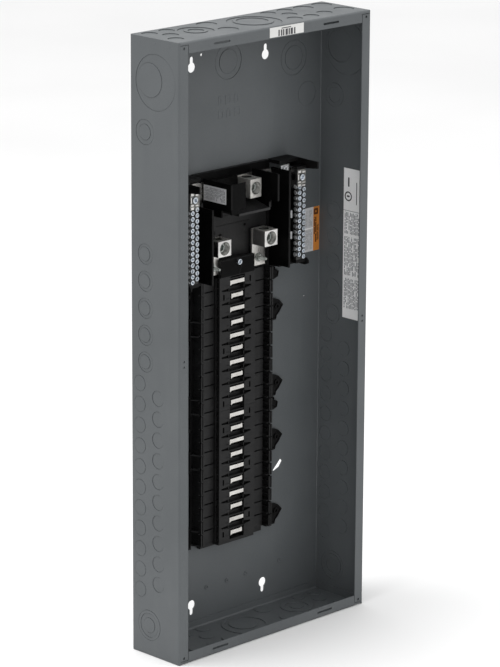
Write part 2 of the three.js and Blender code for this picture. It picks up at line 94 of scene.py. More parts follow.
PITCH = 19.05  # one breaker pole
ROWS = 10  # poles in one base module
MODULE_HEIGHT = ROWS * PITCH - GAP
RIDGE_HALF = 34.5
CHANNEL_HALF = 13.9
RAIL_INNER = 63.3
RAIL_WALL = 66.9
RAIL_OUTER = 69.2
BASE_TOP = 20.0
BASE_FLOOR = 10.5
SIDES = (-1, 1)

# Trade knockout radii.
HALF_INCH = 11.1
THREE_QUARTER = 14.3
ONE_INCH = 17.3
ONE_AND_QUARTER = 21.9
ONE_AND_HALF = 25.0
TWO_AND_HALF = 38.0

KEYHOLE_X = 70.0
KEYHOLES = ((800.7, 1), (36.0, -1))  # height of the round part, and the slot's direction
KEYHOLE_RADIUS = 7.0
KEYHOLE_SLOT = 3.25  # half the slot's width
KEYHOLE_RUN = 11.7  # from the round part's centre to the slot's end centre


# ---- Outlines ----

def arc(a, b, radius, start, end, steps):
    """Points on a round stretch, with angles in degrees."""
    angles = [math.radians(start + (end - start) * i / steps) for i in range(steps + 1)]
    return [(a + radius * math.cos(t), b + radius * math.sin(t)) for t in angles]


def circle(a, b, radius, sides=24):
    return arc(a, b, radius, 0, 360 - 360 / sides, sides - 1)


def rectangle(a0, a1, b0, b1):
    return [(a0, b0), (a1, b0), (a1, b1), (a0, b1)]


def rounded(a0, a1, b0, b1, radius, steps=4):
    left, right, low, high = a0 + radius, a1 - radius, b0 + radius, b1 - radius
    corners = [(right, low, -90), (right, high, 0), (left, high, 90), (left, low, 180)]
    return [point for a, b, start in corners for point in arc(a, b, radius, start, start + 90, steps)]


def hexagon(a, b, radius, turn):
    return arc(a, b, radius, turn, turn + 300, 5)


def mirrored(outline, sign):
    """The outline on its own side of the middle: unchanged on the right, flipped on the left."""
    if sign > 0:
        return outline
    return [(-a, b) for a, b in reversed(outline)]


def keyhole(a, b, up):
    """A round hole for a screw's head with a narrow slot that runs up or down from it."""
    half = math.degrees(math.asin(KEYHOLE_SLOT / KEYHOLE_RADIUS))
    head = arc(a, b, KEYHOLE_RADIUS, 90 * up + half, 90 * up + 360 - half, 26)
    run = arc(a, b + KEYHOLE_RUN * up, KEYHOLE_SLOT, 90 * up - 90, 90 * up + 90, 8)
    return head + run


def turned_to(outline, a, b, angle):
    """An outline about the origin, turned by the angle and moved to (a, b)."""
    c, s = math.cos(math.radians(angle)), math.sin(math.radians(angle))
    return [(a + p * c - q * s, b + p * s + q * c) for p, q in outline]


def ring(a, b, radius, grow=0.0):
    """The outline of a knockout, with more points on the large ones."""
    return circle(a, b, radius + grow, 40 if radius > 16 else 28)


def tie(a, b, radius, angle):
    """A short bridge across a knockout's cut."""
    return turned_to(rectangle(radius - 1.1, radius + 0.8, -0.9, 0.9), a, b, angle)


# ---- Shapes ----

PLACES = {
    "x": lambda a, b, t: (t, a, b),
    "depth": lambda a, b, t: (a, t, b),
    "height": lambda a, b, t: (a, b, t),
}


class Shape:
    """Closed solids that become one mesh. An outline lies across its axis: (depth, height) for x,
    (x, height) for depth and (x, depth) for height."""

    def __init__(self):
        self.points = []
        self.faces = []

    def add(self, points, faces):
        start = len(self.points)
        self.points += points
        self.faces += [[start + i for i in face] for face in faces]

    def plate(self, axis, outline, low, high, holes=()):
        place = PLACES[axis]
        loops = [outline, *holes]
        flat = [point for loop in loops for point in loop]
        count = len(flat)
        points = [place(a, b, t) for t in (low, high) for a, b in flat]
        caps = [list(range(count))]
        if holes:
            caps = geometry.tessellate_polygon([[Vector((a, b, 0)) for a, b in loop] for loop in loops])
        faces = [list(face) for face in caps]
        faces += [[i + count for i in reversed(face)] for face in caps]
        start = 0
        for loop in loops:
            size = len(loop)
            for i in range(size):
                j = (i + 1) % size
                faces.append([start + i, start + j, start + j + count, start + i + count])
            start += size
        self.add(points, faces)

    def box(self, x0, x1, d0, d1, z0, z1):
        self.plate("depth", rectangle(*sorted((x0, x1)), z0, z1), d0, d1)

    def both(self, x0, x1, d0, d1, z0, z1):
        """The same box on the right side and on the left."""
        for sign in SIDES:
            self.box(sign * x0, sign * x1, d0, d1, z0, z1)

    def rod(self, axis, a, b, radius, low, high, sides=24):
        self.plate(axis, circle(a, b, radius, sides), low, high)

    def turned(self, axis, a, b, profile, sides=24):
        """A solid of revolution. The profile runs from end to end as (radius, place on the axis)."""
        place = PLACES[axis]
        points = []
        for radius, t in profile:
            points += [place(p, q, t) for p, q in circle(a, b, radius, sides)]
        faces = [list(range(sides))]
        last = (len(profile) - 1) * sides
        faces.append([last + i for i in reversed(range(sides))])
        for low in range(0, last, sides):
            for i in range(sides):
                j = (i + 1) % sides
                faces.append([low + i, low + j, low + sides + j, low + sides + i])
        self.add(points, faces)


def shade(mesh):
    """Smooth shading, but for the edges that turn by more than 35 degrees."""
    mesh.shade_smooth()
    mesh.set_sharp_from_angle(angle=math.radians(35))


def mesh_of(name, shape):
    mesh = bpy.data.meshes.new(name)
    mesh.from_pydata([spot(*point) for point in shape.points], [], shape.faces)
    work = bmesh.new()
    work.from_mesh(mesh)
    bmesh.ops.recalc_face_normals(work, faces=work.faces)
    work.to_mesh(mesh)
    work.free()
    shade(mesh)
    return mesh


def added(name, data):
    """A new object in the scene."""
    item = bpy.data.objects.new(name, data)
    bpy.context.scene.collection.objects.link(item)
    return item


def soften(item, width, segments=2, angle=40):
    """Rounds the hard edges a little."""
    bevel = item.modifiers.new("edges", "BEVEL")
    bevel.width = width * MM
    bevel.segments = segments
    bevel.limit_method = "ANGLE"
    bevel.angle_limit = math.radians(angle)
    bevel.use_clamp_overlap = True
    bevel.harden_normals = True


def piece(name, shape, look, body="panel", replaces=(), edge=0.0):
    """A mesh that rides on a body, with its finish, and stands for the CAD nodes in replaces."""
    item = added(name, mesh_of(name, shape))
    item.data.materials.append(look)
    if edge:
        soften(item, edge)
    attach(item, body)
    if replaces:
        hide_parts(*replaces)
    return item


def moulded(name, shape, look, edge=0.0, replaces=()):
    """A piece of black plastic that rides on the panel."""
    piece(name, shape, look, replaces=replaces, edge=edge)


def carve(item, shape, slot=0):
    """Cuts the shape out of the piece for good. The cut faces take the finish in the given slot."""
    cutter = added("cutter", mesh_of("cutter", shape))
    for polygon in cutter.data.polygons:
        polygon.material_index = slot
    cut = item.modifiers.new("cut", "BOOLEAN")
    cut.operation = "DIFFERENCE"
    cut.solver = "EXACT"
    cut.material_mode = "INDEX"
    cut.object = cutter
    bpy.context.view_layer.update()
    graph = bpy.context.evaluated_depsgraph_get()
    mesh = bpy.data.meshes.new_from_object(item.evaluated_get(graph))
    item.modifiers.clear()
    old = item.data
    item.data = mesh
    shade(mesh)
    bpy.data.meshes.remove(old)
    bpy.data.objects.remove(cutter)


# ---- Finishes ----

class Finish:
    """A node material in the making: one Principled shader and the textures that vary it."""

    def __init__(self, name, roughness, metallic=0.0, specular=0.5):
        self.material = bpy.data.materials.new(name)
        self.material.use_nodes = True
        self.tree = self.material.node_tree
        self.shader = self.tree.nodes["Principled BSDF"]
        inputs = self.shader.inputs
        inputs["Roughness"].default_value = roughness
        inputs["Metallic"].default_value = metallic
        inputs["Specular IOR Level"].default_value = specular
        self.place = self.tree.nodes.new("ShaderNodeTexCoord").outputs["Object"]

    def feed(self, socket, value):
        """Links the value in if it is another node's output. If not, sets it."""
        if isinstance(value, bpy.types.NodeSocket):
            self.tree.links.new(value, socket)
        else:
            socket.default_value = value

    def node(self, kind, **inputs):
        """A new node. In the names of its inputs an underscore stands for a space."""
        node = self.tree.nodes.new("ShaderNode" + kind)
        for name, value in inputs.items():
            self.feed(node.inputs[name.replace("_", " ")], value)
        return node

    def noise(self, scale, detail=3.0, stretch=(1, 1, 1)):
        place = self.node("Mapping", Vector=self.place, Scale=stretch).outputs["Vector"]
        return self.node("TexNoise", Vector=place, Scale=scale, Detail=detail).outputs["Fac"]

    def ramp(self, factor, low, high, start=0.3, end=0.7):
        """Colours or greys from low to high as the factor goes from start to end."""
        node = self.node("ValToRGB", Fac=factor)
        first, last = node.color_ramp.elements
        first.position, last.position = start, end
        first.color, last.color = (*low, 1), (*high, 1)
        return node.outputs["Color"]

    def product(self, first, second):
        """Two colours multiplied."""
        node = self.node("Mix")
        node.data_type = "RGBA"
        node.blend_type = "MULTIPLY"
        for i, value in ((0, 1.0), (6, first), (7, second)):
            self.feed(node.inputs[i], value)
        return node.outputs[2]

    def rough(self, factor, low, high):
        node = self.node("MapRange", Value=factor, From_Min=0.3, From_Max=0.7, To_Min=low, To_Max=high)
        self.feed(self.shader.inputs["Roughness"], node.outputs["Result"])

    def bump(self, height, depth_mm, strength=1.0, under=None):
        """Bumps by a height pattern, on top of the bumps under it. Returns the bent normal."""
        node = self.node("Bump", Height=height, Distance=depth_mm * MM, Strength=strength)
        if under is not None:
            self.feed(node.inputs["Normal"], under)
        self.feed(self.shader.inputs["Normal"], node.outputs["Normal"])
        return node.outputs["Normal"]

    def colour(self, source):
        self.feed(self.shader.inputs["Base Color"], source)
        return self.material


def paint_finish():
    """Grey baked enamel: faint orange peel, slight mottling and a little dust."""
    finish = Finish("grey_enamel", 0.5, specular=0.35)
    base = finish.ramp(finish.noise(9, 4), (0.088, 0.0965, 0.1015), (0.102, 0.1105, 0.116))
    speckle = finish.ramp(finish.noise(900, 2), (0.92, 0.92, 0.92), (1.0, 1.0, 1.0), 0.35, 0.5)
    rubbed = finish.ramp(finish.noise(40, 6, (1, 1, 0.15)), (1.0, 1.0, 1.0), (1.07, 1.07, 1.06), 0.55, 0.75)
    finish.rough(finish.noise(25, 5), 0.42, 0.56)
    peel = finish.bump(finish.noise(520, 2), 0.02)
    finish.bump(finish.noise(14, 2), 0.12, 0.5, peel)
    return finish.colour(finish.product(finish.product(base, speckle), rubbed))


def plastic_finish(name, low, high, specular):
    """Black moulded plastic: fine spark texture, flow marks and a trace of dust."""
    finish = Finish(name, 0.5, specular=specular)
    base = finish.ramp(finish.noise(30, 4), (low, low, low * 1.03), (high, high, high * 1.03))
    dust = finish.ramp(finish.noise(260, 6), (1, 1, 1), (1.9, 1.85, 1.75), 0.55, 0.8)
    finish.rough(finish.noise(60, 5), 0.38, 0.58)
    grain = finish.bump(finish.noise(1400, 2), 0.03, 0.8)
    finish.bump(finish.noise(45, 3), 0.1, 0.5, grain)
    return finish.colour(finish.product(base, dust))


def metal_finish(name, low, high, roughness, stretch, mottle=35):
    """Bare or plated metal with fine lines along its drawing direction."""
    finish = Finish(name, sum(roughness) / 2, metallic=1.0)
    base = finish.ramp(finish.noise(mottle, 4), low, high)
    stain = finish.ramp(finish.noise(180, 6), (1, 1, 1), (0.78, 0.77, 0.75), 0.58, 0.78)
    finish.rough(finish.noise(120, 5, stretch), *roughness)
    lines = finish.bump(finish.noise(900, 3, stretch), 0.015, 0.7)
    finish.bump(finish.noise(70, 2), 0.05, 0.4, lines)
    return finish.colour(finish.product(base, stain))


def print_finish(name, paper, worn, roughness=0.55):
    """Printed film: flat colour, faint yellowing and scuffs."""
    finish = Finish(name, roughness, specular=0.3)
    base = finish.ramp(finish.noise(22, 4), paper, worn)
    scuff = finish.ramp(finish.noise(300, 5), (1, 1, 1), (0.9, 0.9, 0.9), 0.6, 0.75)
    finish.rough(finish.noise(80, 3), roughness - 0.08, roughness + 0.1)
    finish.bump(finish.noise(160, 3), 0.03, 0.6)
    return finish.colour(finish.product(base, scuff))


ENAMEL = paint_finish()
PLASTIC = plastic_finish("black_moulding", 0.0085, 0.0135, 0.2)
# A darker copy of the black plastic: painted shade for parts that lie in shade, such as the ears, feet,
# ribs, beads and bar holders.
SHADED_BLACK = plastic_finish("shaded_black", 0.0035, 0.006, 0.12)
# A near-black copy of the plastic: painted shade and painted dark reflections, for sheets and faces that
# lie deep in shade.
DEEP_SHADE_BLACK = plastic_finish("deep_shade_black", 0.0014, 0.0024, 0.05)
# A lighter copy of the black plastic: painted light for faces and edges that catch the light, on the
# gussets and the shelf's ramp.
PAINTED_LIGHT_BLACK = plastic_finish("painted_light_black", 0.014, 0.022, 0.25)
TIN = metal_finish("dull_tin", (0.56, 0.545, 0.52), (0.68, 0.665, 0.635), (0.24, 0.4), (1, 1, 0.2))
ALUMINIUM = metal_finish("cut_aluminium", (0.52, 0.51, 0.50), (0.78, 0.77, 0.75), (0.24, 0.4), (1, 1, 0.08))
SAWN = metal_finish("sawn_aluminium", (0.42, 0.41, 0.39), (0.66, 0.65, 0.62), (0.5, 0.66), (1, 0.1, 1), 160)
# Dark aluminium: painted shade on the walls of the lug bores, and the dark mottled top round a bar's large
# terminal.
BORE_SHADE_AND_MOTTLE = metal_finish("bore_shade_and_mottle_aluminium", (0.09, 0.09, 0.085), (0.3, 0.3, 0.28), (0.28, 0.4), (1, 1, 1),
                      260)
# Near-black aluminium for the neutral bars: painted shade, since the bare bars' faces between the screws
# lie in shade.
SHADED_BAR = metal_finish("shaded_bar_aluminium", (0.035, 0.035, 0.035), (0.07, 0.07, 0.068), (0.35, 0.5), (1, 1, 0.1))
ZINC = metal_finish("bright_zinc", (0.42, 0.46, 0.50), (0.66, 0.70, 0.75), (0.2, 0.34), (1, 0.3, 1), 90)
MATT_ZINC = metal_finish("matt_zinc", (0.5, 0.51, 0.52), (0.72, 0.73, 0.74), (0.5, 0.65), (1, 1, 0.3), 90)
STEEL = metal_finish("dull_zinc", (0.22, 0.24, 0.23), (0.4, 0.41, 0.39), (0.25, 0.4), (1, 0.3, 1), 90)
PAPER = print_finish("label_paper", (0.62, 0.62, 0.64), (0.54, 0.54, 0.55))
SIDE_PAPER = print_finish("side_label_paper", (0.92, 0.92, 0.92), (0.82, 0.82, 0.82))
STICKER = print_finish("white_sticker", (0.72, 0.72, 0.71), (0.64, 0.64, 0.62))
ORANGE = print_finish("orange_print", (0.68, 0.25, 0.045), (0.58, 0.21, 0.035))
BROWN_INK = print_finish("brown_ink", (0.07, 0.022, 0.006), (0.11, 0.035, 0.01))
INK = print_finish("grey_ink", (0.045, 0.045, 0.05), (0.08, 0.08, 0.085))
FAINT_INK = print_finish("faint_ink", (0.18, 0.19, 0.205), (0.28, 0.29, 0.305))


# ---- Box ----

CUTS = {"x": 0.5, "depth": 0.7, "height": 1.2}  # width of the cut round a knockout
PRESSED = 0.9  # how far the end walls' knockouts stand inwards
WEB = 0.3  # thickness of the skin that closes a cut
WEB_LAP = 0.5  # how far that skin reaches into the metal on each side


def knockout(shape, axis, face, inward, rings, turn=0):
    """A knockout in a sheet, whose outer face lies at face. Each ring is (a, b, radius, push): a
    plug in the hole of the ring before it, pushed inwards that far by the press."""
    def layer(outline, near, far, holes=()):
        shape.plate(axis, outline, *sorted((face + inward * near, face + inward * far)), holes)

    cut = CUTS[axis]
    last = 0.0
    for i, (a, b, radius, push) in enumerate(rings):
        inside = [ring(*following[:3]) for following in rings[i + 1:i + 2]]
        layer(ring(a, b, radius, -cut), push, push + SHEET, inside)
        near, far = max(last, push), min(last, push) + SHEET
        middle = (near + far) / 2
        opening = ring(a, b, radius, -cut - WEB_LAP)
        layer(ring(a, b, radius, WEB_LAP), middle - WEB / 2, middle + WEB / 2, [opening])
        for side in range(2):
            layer(tie(a, b, radius, turn + 90 * i + 180 * side), near + 0.04, far - 0.04)
        last = push


def openings(sets):
    """The holes in the sheet that the knockouts fill."""
    return [ring(*rings[0][:3]) for rings in sets]


def side_knockouts():
    """The rings of each knockout in a side wall, in (depth, height)."""
    sets = [
        [(49, 802, TWO_AND_HALF, 0.35), (38, 804, 23.4, -0.1)],
        [(28.2, 733, ONE_INCH, 0.3), (28.2, 733, HALF_INCH, -0.1)],
        [(34.2, 43.2, ONE_AND_QUARTER, -0.2), (34.2, 43.2, ONE_INCH, 0.2), (34.2, 43.2, HALF_INCH, -0.2)],
    ]
    for i in range(5):
        height = 567 - 37.4 * i
        sets.append([(28.4, height, THREE_QUARTER, 0.35), (27.2, height, 10.2, -0.05)])
    step = 29.4
    sets += [[(16.7, 385.8 - step * i, HALF_INCH, -0.25)] for i in range(11)]
    sets += [[(52, 371 - step * i, HALF_INCH, 0.5)] for i in range(10)]
    return sets


END_SINGLES = [
    (-161.3, 16.7, HALF_INCH), (-129.3, 15.8, HALF_INCH), (-146.5, 41.5, HALF_INCH),
    (-161.6, 67.5, HALF_INCH), (-57, 16.8, THREE_QUARTER), (-61.7, 63.1, THREE_QUARTER),
    (61.2, 14.5, HALF_INCH), (93.2, 14.5, HALF_INCH), (77.1, 39.6, HALF_INCH),
    (60.2, 66.7, HALF_INCH), (90, 68.7, HALF_INCH), (122, 62.5, HALF_INCH),
    (126, 18.3, THREE_QUARTER), (162, 18.3, THREE_QUARTER), (162, 60.4, THREE_QUARTER),
]


def end_knockouts(flip):
    """The rings of each knockout in an end wall, in (x, depth)."""
    sets = [[(x * flip, depth, radius, PRESSED)] for x, depth, radius in END_SINGLES]
    x = -100.2 * flip
    sets.append([(x, 41, ONE_AND_HALF, PRESSED), (x, 41, ONE_INCH, 0), (x, 41, HALF_INCH, PRESSED)])
    x = 3.6 * flip
    sets.append([
        (x, 46, TWO_AND_HALF, PRESSED), (x + flip, 43, 29, 0), (x + 2 * flip, 40, ONE_AND_QUARTER, PRESSED),
    ])
    return sets


BACK_KNOCKOUTS = [
    [(-1.2, 800.4, ONE_AND_HALF, -0.35), (-1.2, 800.4, ONE_INCH, 0.1)],
    [(125, 789, ONE_AND_HALF, -0.2), (125, 789, ONE_INCH, 0.1)],
    [(151.5, 735, ONE_INCH, -0.2)],
    [(-140, 735, ONE_INCH, -0.2)],
]
SMALL_HOLES = ((-40.9, 55.4), (-1.1, 55.7), (36.2, 57.5), (104, 60.7))
# A short slanted opening that a tab was punched from.
LANCE = [(89.4, 198.6), (92.3, 197.4), (102.2, 201.2), (108.3, 209.2), (104.4, 212.9), (95.8, 204.6)]


def back_holes():
    holes = [circle(x, height, 1.3, 12) for x, height in SMALL_HOLES]
    holes += [circle(-51.7, 815.8, 2, 14), circle(150, 444, 1.1, 12), LANCE]
    for sign in SIDES:
        holes += [keyhole(sign * KEYHOLE_X, height, up) for height, up in KEYHOLES]
    return holes


def fold(shape, axis, a, b, start, low, high):
    """A quarter-round fold in the sheet, its inner edge one sheet in."""
    outer = arc(a, b, FOLD, start, start + 90, 6)
    inner = arc(a, b, FOLD - SHEET, start + 90, start, 6)
    shape.plate(axis, outer + inner, low, high)


SEAM_LOW = 3.8  # the end walls' folds reach this far round the box's corners,
SEAM_HIGH = 4.7  # and the wrap's flanges start here
SCREW_HOLE_X = 172.0  # the cover's screw holes in the side flanges
FLANGE_MIDDLE = 8.3  # the middle of an end flange, where its slots and screw holes are
SLOT_X = 103.0


def box_wrap():
    shape = Shape()
    edge = HALF_WIDTH - FOLD
    front = BOX_DEPTH - FOLD
    holes = back_holes() + openings(BACK_KNOCKOUTS)
    shape.plate("depth", rectangle(-edge, edge, 0, BOX_HEIGHT), 0, SHEET, holes)
    for i, rings in enumerate(BACK_KNOCKOUTS):
        knockout(shape, "depth", 0, 1, rings, 30 + 50 * i)
    for sign in SIDES:
        wall = sorted((sign * HALF_WIDTH, sign * (HALF_WIDTH - SHEET)))
        sets = side_knockouts()
        shape.plate("x", rectangle(FOLD, front, 0, BOX_HEIGHT), *wall, openings(sets))
        for i, rings in enumerate(sets):
            knockout(shape, "x", sign * HALF_WIDTH, -sign, rings, 60 + 40 * i)
        fold(shape, "height", sign * edge, FOLD, 270 if sign > 0 else 180, 0, BOX_HEIGHT)
        fold(shape, "height", sign * edge, front, 0 if sign > 0 else 90, 0, BOX_HEIGHT)
        flange = rectangle(HALF_WIDTH - SIDE_FLANGE, edge, SEAM_HIGH, BOX_HEIGHT - SEAM_HIGH)
        ends = (FLANGE_MIDDLE, BOX_HEIGHT - FLANGE_MIDDLE)
        holes = [circle(SCREW_HOLE_X, height, 1.9, 14) for height in ends]
        holes += [circle(SCREW_HOLE_X, height, 1.6, 12) for height in (429, 421.5)]
        placed = [mirrored(hole, sign) for hole in holes]
        shape.plate("depth", mirrored(flange, sign), BOX_DEPTH - SHEET, BOX_DEPTH, placed)
    piece("box_wrap_sheet", shape, ENAMEL, replaces=["box_wrap"])


def box_end(name, node, top):
    """An end wall with its front flange and the tabs welded inside the wrap."""
    shape = Shape()
    wide = HALF_WIDTH - SHEET - GAP
    lip = HALF_WIDTH - SIDE_FLANGE - 0.9
    front = BOX_DEPTH - SHEET - GAP

    def up(height):
        return BOX_HEIGHT - height if top else height

    def band(low, high):
        return sorted((up(low), up(high)))

    sets = end_knockouts(1 if top else -1)
    crease = BOX_DEPTH - FOLD - 0.6
    shape.plate("height", rectangle(-wide, wide, FLOOR, crease), *band(0, SHEET), openings(sets))
    shape.plate("height", rectangle(-wide, wide, crease - 0.1, BOX_DEPTH - FOLD + 0.1), *band(0.6, SHEET))
    for i, rings in enumerate(sets):
        knockout(shape, "height", up(0), -1 if top else 1, rings, 10 + 35 * i)
    fold(shape, "x", BOX_DEPTH - FOLD, up(FOLD), 0 if top else 270, -wide, wide)
    shape.plate("depth", rectangle(-wide, wide, *band(FOLD, SEAM_LOW)), BOX_DEPTH - SHEET, BOX_DEPTH)
    fold(shape, "x", FLOOR + FOLD, up(FOLD), 90 if top else 180, -lip, lip)
    corner = FLOOR + SHEET
    fillet = [(corner - 0.1, up(SHEET - 0.1)), (corner + 2.2, up(SHEET - 0.1)),
              (corner + 0.7, up(SHEET + 0.7)), (corner - 0.1, up(SHEET + 2.2))]
    shape.plate("x", fillet, -wide + 2, wide - 2)
    low, high = band(SEAM_LOW, END_FLANGE)
    middle = up(FLANGE_MIDDLE)
    slots = [rounded(x - 15, x + 15, middle - 1.5, middle + 1.5, 1.2, 3) for x in (-SLOT_X, SLOT_X)]
    shape.plate("depth", rectangle(-lip, lip, low, high), BOX_DEPTH - SHEET, BOX_DEPTH, slots)
    shape.plate("depth", rectangle(-lip, lip, *band(1, 12)), FLOOR, FLOOR + SHEET)
    for sign in SIDES:
        tab = sorted((sign * wide, sign * (wide - SHEET)))
        shape.plate("x", rounded(FLOOR + 6, front - 6, *band(1, 12), 3), *tab)
    piece(name, shape, ENAMEL, replaces=[node])


def weld_marks():
    """Shallow resistance-weld dimples where the end walls' tabs meet the wrap."""
    shape = Shape()
    for height in (7, BOX_HEIGHT - 7):
        for depth in (20, 47, 74):
            for sign in SIDES:
                wall = sign * (HALF_WIDTH - 0.05)
                dimple = [(2.6, wall), (2.2, wall + sign * 0.12), (1.2, wall + sign * 0.18)]
                shape.turned("x", depth, height, dimple, 16)
        for x in (-120, -40, 40, 120):
            shape.turned("depth", x, height, [(2.6, FLOOR + SHEET - 0.05), (2.0, FLOOR + SHEET + 0.15)], 16)
    piece("weld_marks", shape, ENAMEL)


def back_embossing():
    """A generic block of raised bars and the rims of the small screw holes on the back wall."""
    shape = Shape()
    for row, widths in enumerate(((7, 11, 9), (10, 8, 12))):
        x = -20
        for width in widths:
            height = 741 - row * 19
            outer = rounded(x, x + width, height, height + 13, 2)
            inner = rounded(x + 2.2, x + width - 2.2, height + 2.2, height + 10.8, 1)
            shape.plate("depth", outer, SHEET - 0.1, SHEET + 0.3, [inner])
            x += width + 6
    for x, height in SMALL_HOLES:
        opening = circle(x, height, 1.5, 20)
        shape.plate("depth", circle(x, height, 3.4, 20), SHEET - 0.1, SHEET + 1.1, [opening])
    piece("back_embossing", shape, ENAMEL, edge=0.12)


box_wrap()
box_end("box_top_sheet", "box_top_end", True)
box_end("box_bottom_sheet", "box_bottom_end", False)
weld_marks()
back_embossing()


# ---- Plug-on base ----

# On each side: how far out the notches reach, where the keying slots are, and the rows that have
# a slot, counted from the top.
RIDGE_SIDES = {1: (26.5, 24.4, (1, 5, 9, 11, 15, 19)), -1: (30.0, 26.2, (2, 6, 10, 12, 16, 20))}


def ridge_plate(shape, sign, low, first_row):
    """One side of the ridge's top, notched at every pole, with its keying slots."""
    reach, key, keyed = RIDGE_SIDES[sign]
    inner = CHANNEL_HALF
    high = low + MODULE_HEIGHT
    outline = [(RIDGE_HALF, low), (RIDGE_HALF, high), (inner, high)]
    slots = []
    for i in range(ROWS - 1, -1, -1):
        edge = low + i * PITCH
        if i:
            outline += [(inner, edge + 3.2), (inner + 6, edge + 1.9), (reach, edge + 1.0)]
            outline += [(reach, edge - 1.0), (inner + 6, edge - 1.8), (inner, edge - 3.2)]
        if first_row + ROWS - i in keyed:
            slot = rounded(key - 1.45, key + 1.45, edge + 5.4, edge + 13.6, 0.7, 2)
            slots.append(mirrored(slot, sign))
    outline.append((inner, low))
    shape.plate("depth", mirrored(outline, sign), BASE_TOP - 2.6, BASE_TOP, slots)


def ear(shape, sign, height, outline, hole):
    """A mounting ear with a rim, and where it has a hole, a boss round it."""
    placed = mirrored([(x, height + z) for x, z in outline], sign)
    shape.plate("depth", placed, FLOOR, FLOOR + 2)
    middle = Vector((sum(p[0] for p in placed), sum(p[1] for p in placed))) / len(placed)
    inset = [tuple(middle + (Vector(p) - middle) * 0.84) for p in placed]
    shape.plate("depth", placed, FLOOR + 2, FLOOR + 3.4, [inset])
    if hole:
        x, z = sign * hole[0], height + hole[1]
        shape.plate("depth", circle(x, z, 4.4, 20), FLOOR + 1.5, FLOOR + 4.2, [circle(x, z, 2.2, 20)])


EAR_OUTLINE = [
    (74.5, -15), (90.3, -15), (91.5, -9.8), (96.9, -5.4),
    (104.8, 4.6), (96.3, 12.7), (89.6, 15.6), (74.5, 16.2),
]
HOOK_OUTLINE = [
    (74.5, -11), (86, -11), (93.8, -8.5), (95.4, -1), (92.5, 1.2),
    (88.4, 1.6), (87.6, 7), (82.5, 10.5), (74.5, 10.5),
]
EAR_RISES = (10.6, 121.5)  # the ears' places above the foot of a module
TROUGH = 59.8  # a trough's floor stops here, short of the rail


def rails(shape, low, high):
    """The rails that the breakers' hooks hold: a wall and an inner lip, notched at every pole."""
    shape.both(RAIL_WALL, RAIL_OUTER, FLOOR + 1, BASE_TOP - 5, low, high)
    for i in range(ROWS):
        start = low + i * PITCH + 1.0
        end = low + (i + 1) * PITCH - 1.0
        middle = (start + end) / 2
        shape.both(RAIL_WALL, RAIL_OUTER, BASE_TOP - 5.2, BASE_TOP, start, end)
        shape.both(RAIL_INNER, 65.4, BASE_TOP - 1.8, BASE_TOP, start, end)
        shape.both(67.8, RAIL_OUTER + 0.5, FLOOR + 1, BASE_TOP - 3, middle, middle + 1.2)


def troughs(shape, low, high):
    """The floors between the ridge and the rails, their ribs, and the ridge's flanks."""
    shape.both(RIDGE_HALF - 1, 36.4, BASE_FLOOR - 2, BASE_FLOOR, low, high)
    for i in range(ROWS):
        edge = low + i * PITCH
        shape.both(36.2, TROUGH, BASE_FLOOR - 2, BASE_FLOOR, edge + 0.9, edge + PITCH - 0.9)
        for height, reach, top in ((edge + 1.1, 5.5, 1.6), (edge + PITCH / 2, 2.0, 4)):
            shape.both(65.6 - reach, 67, FLOOR + 1, BASE_TOP - top, height, height + 1.3)
    shape.both(36, 66, FLOOR + 1, FLOOR + 2, low + 1, high - 1)
    shape.both(33.6, 36.2, FLOOR, 14, low, high)
    shape.both(32.2, 33.4, 13, 18, low, high)
    for i in range(ROWS * 2):
        height = low + (i + 0.35) * PITCH / 2
        shape.both(33, 35.4, 13.5, 17.6, height, height + 1.1)


def base_module(name, node, first_row):
    """One moulded module: rails, troughs, and the ridge with its stab channel."""
    shape = Shape()
    low = span(node)[4]
    high = low + MODULE_HEIGHT
    rails(shape, low, high)
    troughs(shape, low, high)
    for sign in SIDES:
        ridge_plate(shape, sign, low, first_row)
    shape.both(CHANNEL_HALF, CHANNEL_HALF + 1.2, 8, BASE_TOP - 2, low, high)
    shape.box(-33, 33, 7.2, 8.6, low, high)
    for i in range(ROWS):
        middle = low + (i + 0.5) * PITCH
        shape.box(-CHANNEL_HALF, CHANNEL_HALF, 12, BASE_TOP - 1.2, middle + 4.7, middle + 6.3)
        shape.box(-CHANNEL_HALF, CHANNEL_HALF, 9, 12.2, middle + 3.2, middle + 10.5)
        shape.both(16, 22, BASE_TOP - 0.2, BASE_TOP, middle - 3.2, middle - 2.4)
    moulded(name, shape, PLASTIC, 0.28, [node])


def ridge_shade_skin(name, low):
    """A near-black sheet that closes the ridge under its slots and notches: painted shade for the hollow
    behind them.
    """
    shape = Shape()
    shape.both(CHANNEL_HALF, 31.5, BASE_TOP - 4.2, BASE_TOP - 3.6, low, low + MODULE_HEIGHT)
    moulded(name, shape, DEEP_SHADE_BLACK)


def base_feet(name, low):
    """The strips, ears and hooks that lie on the box's back beside the rails, in the darker plastic:
    painted shade.
    """
    shape = Shape()
    high = low + MODULE_HEIGHT
    shape.both(67.5, 75.4, FLOOR, FLOOR + 1.6, low, high)
    shape.both(74.2, 75.4, FLOOR, FLOOR + 3.2, low, high)
    shape.both(78, 86, FLOOR + 2, FLOOR + 6, low + 168, low + 172)
    for sign in SIDES:
        for rise in EAR_RISES:
            ear(shape, sign, low + rise, EAR_OUTLINE, (92.5, 3.6))
        ear(shape, sign, low + 177, HOOK_OUTLINE, None)
    moulded(name, shape, SHADED_BLACK, 0.28)


def ear_gussets(name, low):
    """The thin gussets that brace each ear against the rail, in the lighter plastic: a painted highlight
    where their edges catch the light.
    """
    shape = Shape()
    gusset = [(77.0, FLOOR + 1), (67.5, 18.0), (67.5, FLOOR + 1)]
    for rise in EAR_RISES:
        for step in (-9.5, 11):
            height = low + rise + step
            for sign in SIDES:
                shape.plate("height", mirrored(gusset, sign), height, height + 1.6)
    moulded(name, shape, PAINTED_LIGHT_BLACK, 0.2)


